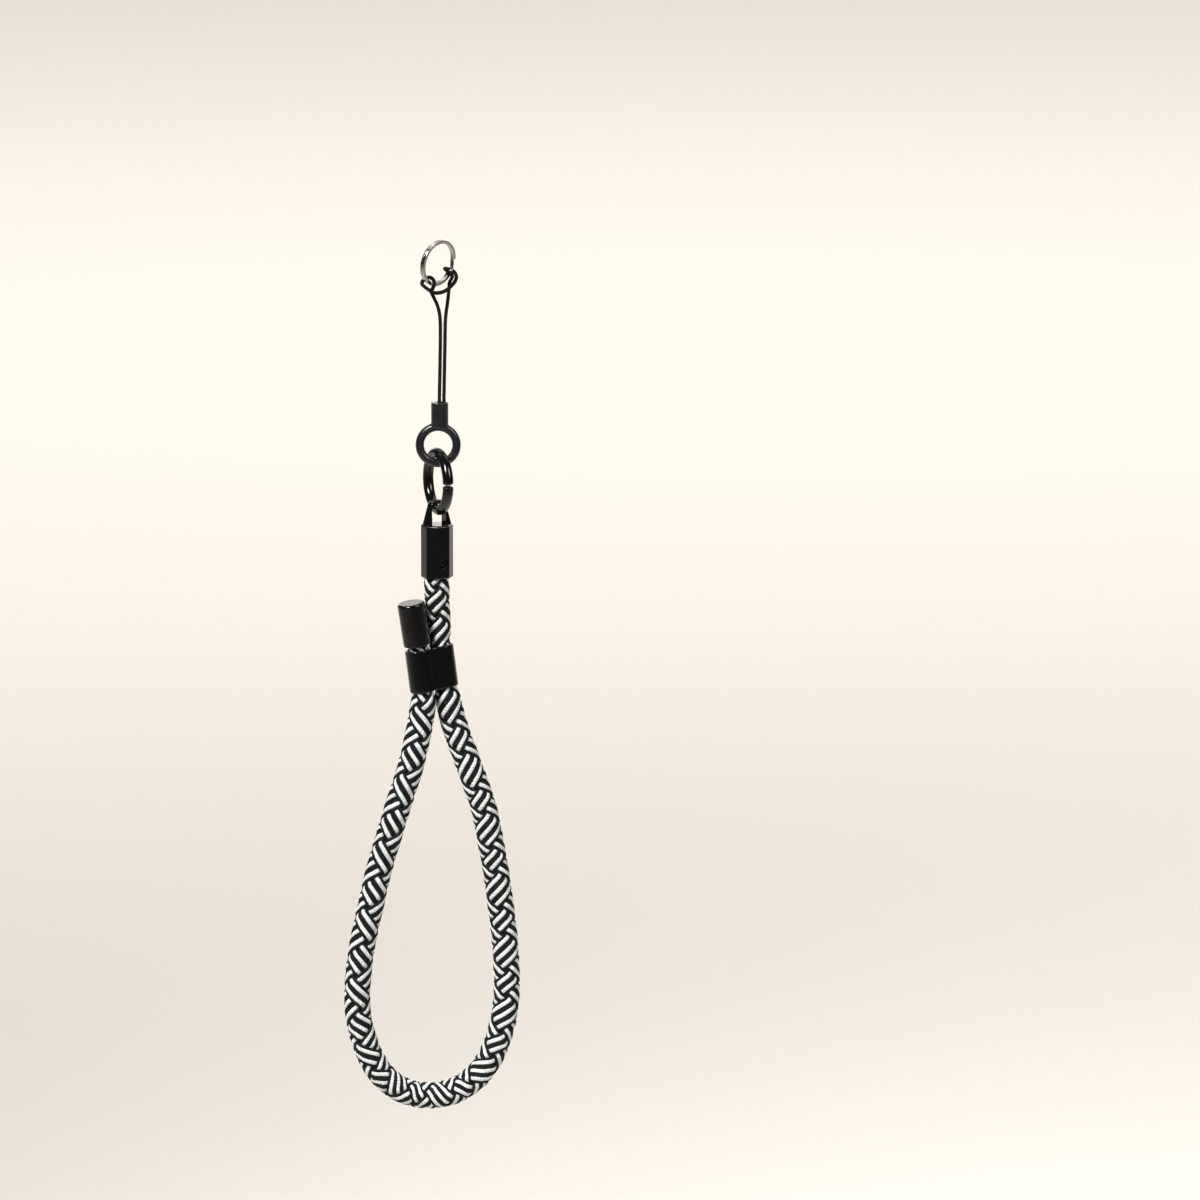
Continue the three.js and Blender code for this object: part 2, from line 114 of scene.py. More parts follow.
# How far the plait has come round, in turns, at distances round the loop.
ROPE_TURNS = (
    (17.5, 0.4167), (83.4, 3.4167), (105.0, 4.421), (125.0, 5.524), (141.6, 6.632), (158.1, 7.6667),
    (177.9, 8.6667), (197.4, 9.6667), (217.2, 10.6667), (236.4, 11.6667), (255.5, 12.6667),
    (277.6, 13.6667), (299.9, 14.6667), (311.3, 15.1667),
)

# Lengths of a turn before the first of those distances and after the last.
FIRST_PITCH, LAST_PITCH = 22.0, 19.4

# The plait's face swings a quarter turn between these two distances.
FACE_SWING = (101, 154)

# Places of yarns round the rope, and their width all together.
PLACES = 12
GIRTH = 15.8

# Each ribbon of the plait: where its middle lies among the places, and its half width in places.
BROAD_RIBBON = (2.0, 3.35)
NARROW_RIBBON = (8.0, 2.26)
RIBBON_GAP = (PLACES - 2 * BROAD_RIBBON[1] - 2 * NARROW_RIBBON[1]) / 4

# How many places a ribbon takes to go from over to under.
DIVE = 2.1

# Yarns side by side in a ribbon: distance from its middle, half width, and 1 for a white yarn.
BROAD_YARNS = (
    (-3.93, 0.47, 0), (-2.86, 0.65, 1), (-1.87, 0.42, 0), (-0.99, 0.42, 0), (0.00, 0.65, 1),
    (0.99, 0.42, 0), (1.87, 0.42, 0), (2.86, 0.65, 1), (3.93, 0.47, 0),
)
NARROW_YARNS = (
    (-2.50, 0.47, 0), (-1.43, 0.65, 1), (-0.44, 0.42, 0), (0.44, 0.42, 0), (1.43, 0.65, 1),
    (2.50, 0.47, 0),
)


# ---- what a user would change


class StrapSizes(PropertyGroup):
    """Sizes of the strap's pieces"""

    rope_diameter: FloatProperty(
        name="Rope diameter", description="Across the plait in the wrist loop",
        default=0.0079, unit="LENGTH",
    )
    yarn_thickness: FloatProperty(
        name="Yarn thickness", description="Half the thickness of one yarn of the rope",
        default=0.00037, unit="LENGTH",
    )
    cord_diameter: FloatProperty(
        name="Thin cord diameter", description="Across the thin cord between split ring and eyelet",
        default=0.00125, unit="LENGTH",
    )
    split_radius: FloatProperty(
        name="Split ring radius", description="To the middle of the split ring's flat wire",
        default=0.0067, unit="LENGTH",
    )
    eyelet_radius: FloatProperty(
        name="Eyelet radius", description="To the middle of the moulded eyelet's section",
        default=0.00565, unit="LENGTH",
    )
    sleeve_radius: FloatProperty(
        name="Sleeve radius", description="Outside of the sleeve that grips the thin cord",
        default=0.00265, unit="LENGTH",
    )
    jump_radius: FloatProperty(
        name="Jump ring radius", description="To the middle of the jump ring's wire",
        default=0.0088, unit="LENGTH",
    )
    jump_wire: FloatProperty(
        name="Jump ring wire", description="Radius of the jump ring's wire",
        default=0.00165, unit="LENGTH",
    )
    barrel_flats: FloatProperty(
        name="Ferrule across flats", description="Across the ferrule's eight-sided barrel",
        default=0.0092, unit="LENGTH",
    )
    slider_height: FloatProperty(
        name="Slider height", description="Along the rope", default=0.0131, unit="LENGTH"
    )
    cap_radius: FloatProperty(
        name="End cap radius", description="Outside of the cap on the rope's end",
        default=0.00425, unit="LENGTH",
    )
    cap_length: FloatProperty(
        name="End cap length", description="From the cap's foot to its top",
        default=0.0135, unit="LENGTH",
    )


class StrapColours(PropertyGroup):
    """Colours of the strap's materials and of the floor"""

    white_yarn: FloatVectorProperty(
        name="White yarn", description="The rope's light yarns",
        subtype="COLOR", default=(0.86, 0.88, 0.87),
    )
    black_yarn: FloatVectorProperty(
        name="Black yarn", description="The rope's dark yarns",
        subtype="COLOR", default=(0.007, 0.0085, 0.010),
    )
    black_cord: FloatVectorProperty(
        name="Thin cord", description="The thin black cord",
        subtype="COLOR", default=(0.006, 0.006, 0.0064),
    )
    bright_steel: FloatVectorProperty(
        name="Bright steel", description="The split ring's plated steel",
        subtype="COLOR", default=(0.60, 0.59, 0.57),
    )
    black_metal: FloatVectorProperty(
        name="Black metal", description="Gloss black jump ring, ferrule and screw",
        subtype="COLOR", default=(0.003, 0.0029, 0.0028),
    )
    black_satin: FloatVectorProperty(
        name="Black satin", description="Slider and end cap",
        subtype="COLOR", default=(0.0025, 0.0024, 0.0023),
    )
    black_moulding: FloatVectorProperty(
        name="Black moulding", description="Moulded sleeve and eyelet",
        subtype="COLOR", default=(0.012, 0.0125, 0.0135),
    )
    floor: FloatVectorProperty(
        name="Floor", description="Pale floor under the strap",
        subtype="COLOR", default=(0.86, 0.83, 0.785),
    )


# ---- helpers


def chosen(context):
    """The sizes and the colours that the user has set."""
    return context.scene.strap_sizes, context.scene.strap_colours


def choose(obj):
    """Makes a piece the only selected one and the active one."""
    bpy.ops.object.select_all(action="DESELECT")
    obj.select_set(True)
    bpy.context.view_layer.objects.active = obj


def linked(name, data):
    """A new object in the scene, made from its data."""
    obj = bpy.data.objects.new(name, data)
    bpy.context.scene.collection.objects.link(obj)
    return obj


def added(name, scale=(1, 1, 1)):
    """The primitive that was just added, named, scaled and with its object at the origin."""
    obj = bpy.context.object
    obj.name = name
    obj.data.name = name
    obj.scale = scale
    bpy.ops.object.transform_apply(**APPLIED)
    return obj


def edit(obj, kind="EDGE"):
    """Opens a piece in edit mode."""
    choose(obj)
    bpy.ops.object.mode_set(mode="EDIT")
    bpy.ops.mesh.select_mode(type=kind)


def leave():
    bpy.ops.object.mode_set(mode="OBJECT")


def select_all():
    bpy.ops.mesh.select_all(action="SELECT")


def pick(obj, test, kind="edges"):
    """Selects only those vertices, edges or faces of the edited piece that pass a test."""
    bpy.ops.mesh.select_all(action="DESELECT")
    work = bmesh.from_edit_mesh(obj.data)
    for item in getattr(work, kind):
        if test(item):
            item.select_set(True)
    work.select_flush_mode()
    bmesh.update_edit_mesh(obj.data)


def at_height(height):
    """A test for edges that lie at a height."""
    return lambda edge: all(abs(v.co.z - height) < TINY for v in edge.verts)


def round_edges(obj, test, offset, segments, **settings):
    """Bevels those edges of the edited piece that pass a test; the offset is in millimetres."""
    pick(obj, test)
    bpy.ops.mesh.bevel(offset=offset * MM, segments=segments, affect="EDGES", **settings)


def extrude(value):
    bpy.ops.mesh.extrude_region_move(TRANSFORM_OT_translate={"value": value})


def resize(value, center):
    bpy.ops.transform.resize(value=value, center_override=center)


def spin(steps, angle, center=(0, 0, 0), axis=(0, 0, 1)):
    bpy.ops.mesh.spin(steps=steps, angle=angle, center=center, axis=axis)


def weld(threshold=TINY):
    select_all()
    bpy.ops.mesh.remove_doubles(threshold=threshold)


def face_outward():
    select_all()
    bpy.ops.mesh.normals_make_consistent(inside=False)


def modify(obj, kind, **settings):
    """Adds a modifier and applies it."""
    choose(obj)
    modifier = obj.modifiers.new(kind.title(), kind)
    for key, value in settings.items():
        setattr(modifier, key, value)
    bpy.ops.object.modifier_apply(modifier=modifier.name)


def soften(obj, width, degrees):
    """Rounds the edges that are sharper than an angle; the width is in millimetres."""
    angle = radians(degrees)
    sharp_only = {"segments": 2, "limit_method": "ANGLE", "use_clamp_overlap": False}
    modify(obj, "BEVEL", width=width * MM, angle_limit=angle, **sharp_only)


def combine(obj, other, operation):
    """Joins, cuts or crosses a piece with another, which is used up."""
    modify(obj, "BOOLEAN", object=other, operation=operation, solver="EXACT")
    bpy.data.objects.remove(other)


def cylinder(vertices, radius, depth, location=(0, 0, 0), rotation=(0, 0, 0)):
    """Adds a cylinder and gives its object."""
    sizes = {"vertices": vertices, "radius": radius, "depth": depth}
    bpy.ops.mesh.primitive_cylinder_add(location=location, rotation=rotation, **sizes)
    return bpy.context.object


def drill(obj, *hole):
    """Cuts a cylinder out of a piece."""
    combine(obj, cylinder(*hole), "DIFFERENCE")


def place(obj, matrix):
    """Moves a piece's mesh to its place, so that its object stays at the origin."""
    choose(obj)
    obj.matrix_world = matrix @ obj.matrix_world
    bpy.ops.object.transform_apply(**APPLIED)


def smooth(obj, degrees, weighted=True):
    """Smooth shading that keeps edges sharper than the angle."""
    choose(obj)
    bpy.ops.object.shade_smooth_by_angle(angle=radians(degrees))
    if weighted:
        modify(obj, "WEIGHTED_NORMAL", keep_sharp=True, weight=60)


def finished(obj, material, node):
    """Gives a piece its material and its body, and hides the CAD part of that name."""
    obj.data.materials.clear()
    obj.data.materials.append(material)
    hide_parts(node)
    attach(obj, "root")


def standing(foot, top):
    """The matrix that stands a body built along Z on a foot, with its Z axis toward a top."""
    turn = Vector((0, 0, 1)).rotation_difference((top - foot).normalized())
    return Matrix.Translation(foot) @ turn.to_matrix().to_4x4()


def turn_z(degrees):
    return Matrix.Rotation(radians(degrees), 4, "Z")


def smoothstep(x, low, high):
    t = np.clip((x - low) / (high - low), 0, 1)
    return t * t * (3 - 2 * t)


# ---- materials


def shade(colour, factor):
    return tuple(min(1.0, c * factor) for c in colour)


class Shading:
    """A new material and what makes its nodes."""

    def __init__(self, name):
        self.material = bpy.data.materials.new(name)
        self.material.use_nodes = True
        self.tree = self.material.node_tree
        self.place = self.node("ShaderNodeTexCoord", {}).outputs["Object"]

    def feed(self, node, inputs):
        """Sets a node's inputs, or joins them to the outputs of others."""
        for name, value in inputs.items():
            if isinstance(value, bpy.types.NodeSocket):
                self.tree.links.new(value, node.inputs[name])
            else:
                node.inputs[name].default_value = value
        return node

    def node(self, kind, inputs, **settings):
        made = self.tree.nodes.new(kind)
        for key, value in settings.items():
            setattr(made, key, value)
        return self.feed(made, inputs)

    def surface(self, inputs):
        """Feeds the material's shader and gives the material."""
        self.feed(self.tree.nodes["Principled BSDF"], inputs)
        return self.material

    def mapped(self, source, scale, turn, **settings):
        """Coordinates stretched and turned."""
        inputs = {"Vector": source, "Scale": scale, "Rotation": turn}
        return self.node("ShaderNodeMapping", inputs, **settings).outputs["Vector"]

    def twisted(self, source, stretch, degrees):
        """Coordinates turned and then stretched, so that streaks run slantwise along a yarn."""
        turn = (0, 0, radians(degrees))
        return self.mapped(source, (1, stretch, 1), turn, vector_type="TEXTURE")

    def noise(self, source, scale, detail=2.0, roughness=0.5):
        inputs = {"Vector": source, "Scale": scale, "Detail": detail, "Roughness": roughness}
        return self.node("ShaderNodeTexNoise", inputs).outputs["Fac"]

    def mix(self, one, other, factor=1.0, **settings):
        inputs = {"Factor": factor, "A": one, "B": other}
        return self.node("ShaderNodeMix", inputs, data_type="RGBA", **settings).outputs["Result"]

    def ramp(self, source, *stops):
        """A colour ramp with (position, grey or colour) stops."""
        made = self.node("ShaderNodeValToRGB", {"Fac": source})
        elements = made.color_ramp.elements
        while len(elements) < len(stops):
            elements.new(0.5)
        for element, (position, value) in zip(elements, stops):
            element.position = position
            element.color = (*value, 1) if isinstance(value, tuple) else (value, value, value, 1)
        return made.outputs["Color"]

    def bump(self, height, strength, distance, under=None):
        inputs = {"Height": height, "Strength": strength, "Distance": distance}
        if under is not None:
            inputs["Normal"] = under
        return self.node("ShaderNodeBump", inputs).outputs["Normal"]


def yarn_material(name, colour, dark):
    """Twisted filaments along a yarn, from the yarn's own UV map in millimetres, with painted shade
    in the ply grooves and, on dark yarn, painted fibre highlights.
    """
    made = Shading(name)
    # On dark yarn the lighter fibre streaks, up to five times the yarn's colour, are painted
    # highlights of fibre sheen. On white yarn the fibre tones vary at random.
    if dark:
        tones, painted_groove_shade, specular = ((0.36, 0.5), (0.55, 1), (0.62, 1.8), (0.74, 5.0)), 0.55, 0.22
    else:
        tones, painted_groove_shade, specular = ((0.28, 0.62), (0.44, 0.9), (0.60, 1), (0.78, 1.12)), 0.80, 0.4
    own = made.node("ShaderNodeUVMap", {}, uv_map="yarn").outputs["UV"]
    fibres = made.noise(made.twisted(own, 9.0, 22), 7.5, 3.0, 0.6)
    slanted = made.twisted(own, 1.0, 48)
    waves = {"Vector": slanted, "Scale": 0.42, "Distortion": 1.6, "Detail Scale": 2.0}
    bands = {"wave_type": "BANDS", "bands_direction": "X"}
    plies = made.node("ShaderNodeTexWave", waves, **bands).outputs["Fac"]
    patches = made.noise(made.place, 380.0, 3.0, 0.55)
    base = made.ramp(fibres, *((position, shade(colour, factor)) for position, factor in tones))
    # The ply bands darken the colour in the grooves between plies, which is painted shade. The
    # patches vary the tone at random.
    for layer in (
        made.ramp(plies, (0.08, painted_groove_shade), (0.45, 1.0)),
        made.ramp(patches, (0.32, 0.82), (0.62, 1.0)),
    ):
        base = made.mix(base, layer, blend_type="MULTIPLY")
    return made.surface({
        "Base Color": base,
        "Roughness": made.ramp(fibres, (0.3, 0.85), (0.7, 0.6)),
        "Specular IOR Level": specular,
        "Normal": made.bump(fibres, 0.45, 0.00006, made.bump(plies, 0.5, 0.00011)),
    })


def core_material(colour):
    """The shadowed filling of the plait."""
    made = Shading("rope_filling")
    fibres = made.noise(made.place, 900.0, 3.0)
    return made.surface({
        "Base Color": made.ramp(fibres, (0.3, shade(colour, 0.4)), (0.7, shade(colour, 0.9))),
        "Roughness": 0.95,
        "Normal": made.bump(fibres, 0.4, 0.0001),
    })


def steel_material(colour):
    """Bright plating with hairline scratches."""
    made = Shading("bright_steel")
    hairs = made.noise(made.mapped(made.place, (1, 1, 0.08), (0.6, 0.9, 0.2)), 1500.0)
    smudge = made.noise(made.place, 320.0, 3.0)
    return made.surface({
        "Base Color": made.ramp(smudge, (0.3, shade(colour, 0.84)), (0.6, tuple(colour))),
        "Metallic": 1.0,
        "Roughness": made.ramp(smudge, (0.35, 0.10), (0.7, 0.24)),
        "Normal": made.bump(hairs, 0.10, 0.00004),
    })


# Satin's least and greatest roughness, the scale of its grain and the grain's depth.
SATIN = (0.11, 0.18, 2000.0, 0.000006)


def black_material(name, colour, gloss, dull, grain, depth=0.00001):
    """Black coating: broad changes of gloss, a fine grain and faint scratches."""
    made = Shading(name)
    broad = made.noise(made.place, 260.0, 4.0, 0.6)
    scratches = made.noise(made.mapped(made.place, (1, 1, 0.05), (0.5, 0.35, 0.8)), 700.0, 1.0)
    tones = made.ramp(broad, (0.3, shade(colour, 0.85)), (0.7, shade(colour, 1.25)))
    worn = made.ramp(scratches, (0.66, 0.0), (0.72, 1.0))
    return made.surface({
        "Base Color": made.mix(tones, (*shade(colour, 2.2), 1), worn),
        "Roughness": made.ramp(broad, (0.3, gloss), (0.75, dull)),
        "IOR": 1.5,
        "Normal": made.bump(made.noise(made.place, grain), 0.25, depth),
    })


# ---- cords


def curve_points(route, steps):
    """Points of the smooth curve through a route, and each one's count of route points."""
    places = np.array(route, float)
    padded = np.vstack([2 * places[0] - places[1], places, 2 * places[-1] - places[-2]])
    count = np.linspace(0, len(places) - 1, (len(places) - 1) * steps + 1)
    piece = np.minimum(count.astype(int), len(places) - 2)
    t = (count - piece)[:, None]
    a, b, c, d = (padded[piece + k] for k in range(4))
    square, cube = (2 * a - 5 * b + 4 * c - d) * t**2, (3 * b - a - 3 * c + d) * t**3
    return 0.5 * (2 * b + (c - a) * t + square + cube), count


def eased(points, reach):
    """The same line with its small kinks eased, its ends kept."""
    out = points.copy()
    for _ in range(reach):
        out[1:-1] = 0.25 * out[:-2] + 0.5 * out[1:-1] + 0.25 * out[2:]
    return out


def lengths(points):
    """How far along a line each of its points is."""
    return np.concatenate([[0], np.cumsum(np.linalg.norm(np.diff(points, axis=0), axis=1))])


def unit(vectors):
    return vectors / np.linalg.norm(vectors, axis=1)[:, None]


def square_to(along, vectors):
    """The parts of some vectors that are square to others, at length one."""
    return unit(vectors - along * (vectors * along).sum(1)[:, None])


class Line:
    """A cord's centreline with its length, tangents and a frame round it, all in metres."""

    def __init__(self, points, facing=None):
        self.points = points
        self.along = lengths(points)
        self.tangents = unit(np.gradient(points, self.along, axis=0))
        first = np.zeros_like(points)
        if facing is not None:
            first[:] = facing
        else:
            first[0] = np.cross(self.tangents[0], (0.3, 1.0, 0.2))
            for i in range(1, len(points)):
                t = self.tangents[i]
                first[i] = first[i - 1] - t * (first[i - 1] @ t)
                first[i] /= np.linalg.norm(first[i])
        self.front = square_to(self.tangents, first)
        self.side = np.cross(self.front, self.tangents)

    def at(self, where, values):
        return np.stack([np.interp(where, self.along, values[:, k]) for k in range(3)], axis=1)

    def around(self, where, angle, radius):
        """Points at an angle round the line, and the direction outward there."""
        out = self.at(where, self.front) * np.cos(angle)[:, None]
        out = unit(out + self.at(where, self.side) * np.sin(angle)[:, None])
        return self.at(where, self.points) + out * radius[:, None], out


def yarn_tube(centre, outward, half_width, half_thickness, sides):
    """Vertices, faces and UVs of one closed yarn with a flat-oval section."""
    squareness, uv_width = 0.82, 2.4
    rings = len(centre)
    run = unit(np.gradient(centre, axis=0))
    up = square_to(run, outward)
    across = np.cross(run, up)
    angle = np.arange(sides) * 2 * pi / sides
    wide, high = (np.sign(f(angle)) * np.abs(f(angle)) ** squareness for f in (np.cos, np.sin))
    verts = (
        centre[:, None]
        + across[:, None] * (half_width[:, None] * wide[None])[..., None]
        + up[:, None] * (half_thickness[:, None] * high[None])[..., None]
    ).reshape(-1, 3)
    ring, side = np.meshgrid(np.arange(rings - 1), np.arange(sides), indexing="ij")
    corners = ((0, 0), (0, 1), (1, 1), (1, 0))
    quads = [(ring + up) * sides + (side + on) % sides for up, on in corners]
    quads = np.stack(quads, axis=-1).reshape(-1, 4)
    length = lengths(centre) / MM
    uvs = [np.stack([side / sides + on / sides, length[ring + up]], -1) for up, on in corners]
    uvs = np.stack(uvs, axis=-2).reshape(-1, 2)
    uvs[:, 0] *= uv_width
    caps = [list(range(sides))[::-1], list(range((rings - 1) * sides, rings * sides))]
    return verts, quads, caps, uvs


def mesh_of(name, tubes):
    """One object from many closed tubes, with the UV map called yarn."""
    verts, faces, uvs, start = [], [], [], 0
    for tube_verts, quads, caps, tube_uvs in tubes:
        verts.append(tube_verts)
        faces += (quads + start).tolist()
        uvs.append(tube_uvs)
        for cap in caps:
            faces.append([start + i for i in cap])
            uvs.append(np.full((len(cap), 2), 0.5))
        start += len(tube_verts)
    mesh = bpy.data.meshes.new(name)
    mesh.from_pydata(np.vstack(verts).tolist(), [], faces)
    layer = mesh.uv_layers.new(name="yarn")
    layer.data.foreach_set("uv", np.vstack(uvs).astype(np.float32).ravel())
    mesh.update()
    obj = linked(name, mesh)
    choose(obj)
    bpy.ops.object.shade_smooth()
    return obj


def over_and_under(across, top):
    """A ribbon's level, 1 where it goes over the ribbon called top, else -1, and its crown there."""
    level = np.full_like(across, -1.0)
    crown = np.zeros_like(across)
    middle, half = top
    for lap in (-PLACES, 0, PLACES):
        away = np.abs(across - middle - lap)
        rise = 1 - smoothstep(away, half + RIBBON_GAP - DIVE / 2, half + RIBBON_GAP + DIVE / 2)
        level = np.maximum(level, 2 * rise - 1)
        crown = np.maximum(crown, np.clip(1 - (away / (half + RIBBON_GAP)) ** 2, 0, 1))
    return level, crown


def rope_line():
    """The rope's centreline from the cap to the ferrule, and each point's count of route points."""
    points, count = curve_points(ROPE_ROUTE, 40)
    points = eased(points * MM, 260)[::-1]
    return Line(points, facing=np.array(TOWARD_WEARER)), count[::-1]


def rope_radius(count):
    """The plait's outer radius at places given in route points."""
    places, radii = np.array(ROPE_SIZES).T
    radius = np.full_like(count, radii[0])
    for low, high, before, after in zip(places, places[1:], radii, radii[1:]):
        if after != before:
            radius += (after - before) * smoothstep(count, low, high)
    return radius * MM


def rope_turns():
    """Distances every tenth of a millimetre, and how far the plait has come round at each."""
    distance, turns = np.array(ROPE_TURNS).T
    fine = np.linspace(-60, 340, 4001)
    come = np.interp(fine, distance, turns)
    before, after = fine < distance[0], fine > distance[-1]
    for outside, end, pitch in ((before, 0, FIRST_PITCH), (after, -1, LAST_PITCH)):
        come = np.where(outside, turns[end] + (fine - distance[end]) * (1 / pitch), come)
    reach = 60
    width = 2 * reach + 1
    come = np.pad(come, reach, mode="reflect", reflect_type="odd")
    return fine, np.convolve(come, np.ones(width) / width, "valid")


def ring_places():
    """Where a yarn has its rings within each lap of places: close together where it dives."""
    middle, half = NARROW_RIBBON
    steps = (0.45, 1.3, 2.2, 3.2, 4.4)
    steps = tuple(-k for k in steps[::-1]) + steps
    edges = (middle - half - RIBBON_GAP, middle + half + RIBBON_GAP)
    crown = BROAD_RIBBON[0] + PLACES
    dives = [edge + step * DIVE / 8 for edge in edges for step in steps]
    return np.sort(dives + [crown, crown - 0.8, crown + 0.8])


def rope_yarns(sizes):
    """The rope's line and yarns, each with 1 for white, which way it winds, and its tube."""
    line, count = rope_line()
    loop_start = np.interp(LOOP_START, count[::-1], line.along[::-1])
    fine, come = rope_turns()
    low, high = np.interp((line.along[[0, -1]] - loop_start) / MM, fine, come)
    stops = ring_places()
    # Radii for a plait of the nominal radius: a yarn's middle, and what going over, the crown of a
    # ribbon and the ribbon's roundness add.
    nominal, lies_at, over, crowned, rounded = 3.95, 3.05, 0.38, 0.08, 0.07
    margin, waver, black_share, sides = 0.005, 0.045, 0.96, 10
    rng = np.random.default_rng(7)
    tubes = []
    for hand in (1, -1):
        for ribbon, other, yarns in (
            (BROAD_RIBBON, NARROW_RIBBON, BROAD_YARNS),
            (NARROW_RIBBON, BROAD_RIBBON, NARROW_YARNS),
        ):
            for offset, half_width, white in yarns:
                slot = ribbon[0] + offset * PLACES / GIRTH
                first = floor((2 * PLACES * low - slot) / PLACES) - 1
                laps = np.arange(first, (2 * PLACES * high - slot) / PLACES + 2)
                across = (stops[None] + PLACES * laps[:, None]).ravel()
                theta = (slot + across) / (2 * PLACES)
                inside = (theta > low + margin) & (theta < high - margin)
                across, theta = across[inside], theta[inside]
                where = np.interp(theta, come, fine) * MM + loop_start
                draws = rng.standard_normal(len(where) + 6)
                wobble = waver * np.convolve(draws, np.ones(7) / 7**0.5, "valid")
                turned = hand * (across - slot) / (2 * PLACES) + wobble / GIRTH * 0.7
                facing = -0.25 - 0.25 * smoothstep((where - loop_start) / MM, *FACE_SWING)
                angle = 2 * pi * (turned + facing)
                top = other if hand == 1 else ribbon
                level, crown = over_and_under(across % PLACES, top)
                outer = rope_radius(np.interp(where, line.along, count))
                scale = outer / (nominal * MM)
                lie = 1 - (offset / (ribbon[1] * GIRTH / PLACES)) ** 2
                lifted = over * level + crowned * crown * (level > 0) + rounded * lie
                radius = (lies_at + lifted) * MM * scale
                centre, outward = line.around(where, angle, radius)
                from_end = np.minimum(np.arange(len(where)), np.arange(len(where))[::-1])
                ends = np.clip(from_end / 2 + 0.3, 0, 1)
                wide = half_width * MM * scale * (1 + 0.05 * wobble)
                thick = sizes.yarn_thickness * scale * (1.0 if white else black_share) * ends
                tubes.append((white, hand, yarn_tube(centre, outward, wide, thick, sides)))
    return line, count, tubes


def screw_bite(obj):
    """Presses the yarns in under the set screw's tip."""
    out = turn_z(FERRULE_YAW - 90) @ Vector((1, 0, 0))
    axis = FERRULE_FOOT + Vector((0, 0, SCREW_HEIGHT * MM))
    limit, inner, outer = 2.0 * MM, 1.5 * MM, 1.9 * MM
    for vertex in obj.data.vertices:
        from_axis = vertex.co - axis
        depth = from_axis.dot(out)
        aside = (from_axis - out * depth).length
        if depth > limit and aside < outer:
            press = 1 - float(smoothstep(aside, inner, outer))
            vertex.co -= out * (depth - limit) * press


class STRAP_OT_rope(Operator):
    """Plaits the rope from white and black yarns over its filling"""

    bl_idname = "strap.rope"
    bl_label = "Rope"

    def execute(self, context):
        sizes, colours = chosen(context)
        line, count, tubes = rope_yarns(sizes)

        def yarns(name, *kinds):
            return mesh_of(name, [tube for white, hand, tube in tubes if (white, hand) in kinds])

        black = yarns("rope_black_yarns_right", (0, 1))
        other = yarns("rope_black_yarns_left", (0, -1))
        white = yarns("rope_white_yarns", (1, 1), (1, -1))
        rings, sides, share = 330, 16, 0.62
        where = np.linspace(0, line.along[-1], rings)
        radius = rope_radius(np.interp(where, line.along, count)) * share
        centre, outward = line.at(where, line.points), line.at(where, line.front)
        core = mesh_of("rope_filling", [yarn_tube(centre, outward, radius, radius, sides)])
        dark = yarn_material("black_yarn", colours.black_yarn, True)
        for piece, material in (
            (black, dark),
            (other, dark),
            (white, yarn_material("white_yarn", colours.white_yarn, False)),
            (core, core_material(colours.black_yarn)),
        ):
            screw_bite(piece)
            finished(piece, material, "rope")
        return {"FINISHED"}


def by_ring(radius, degrees, outward, along):
    """A place near the split ring's wire, in millimetres and degrees round from its foot."""
    angle = radians(degrees)
    reach = radius + outward * MM
    foot, side = SPLIT_FOOT * reach * cos(angle), SPLIT_SIDE * reach * sin(angle)
    return (SPLIT_CENTRE + foot + side + SPLIT_AXIS * along * MM) / MM


def hitch_route(radius):
    """The thin cord's route in millimetres: up one leg, through the hitch and down the other."""
    middle = (HITCH_LEFT + HITCH_RIGHT) / 2

    def half(wrap, outward):
        steps = (
            (1, 2.2, 1.75), (10, 1.95, 0.5), (12, 1.4, -1.2), (10, 0.0, -1.8), (6, -1.4, -1.0),
            (3, -1.6, 0.3), (0, -0.9, 1.5), (-3, 0.3, 1.7), (-8, 1.4, 1.0), (-13, 2.5, 0.3),
        )
        bight = by_ring(radius, middle + outward * 26, 2.35, 1.95)
        return [bight] + [by_ring(radius, wrap + outward * on, *off) for on, *off in steps]

    def leg(side):
        return [
            (-1.2 + side * 2.2, 1.4 + side * 2.2, -15.9 + side * 0.7),
            (-0.85 + side * 1.45, 1.3 + side * 0.8, -19.1 + side * 0.3),
            (-0.8 + side * 0.8, 1.0 + side * 0.1, -23.5),
            (-0.9 + side * LEG_SPACING / 2, 0.6, -33.0),
            (LEG_X + side * LEG_SPACING / 2, 0, SLEEVE_TOP + 1),
            (LEG_X + side * LEG_SPACING / 2, 0, SLEEVE_TOP - SLEEVE_BORE_DEPTH + 0.4),
        ]

    left = half(HITCH_LEFT, 1) + leg(-1)
    right = half(HITCH_RIGHT, -1) + leg(1)
    return left[::-1] + [by_ring(radius, middle, 2.4, 1.95)] + right


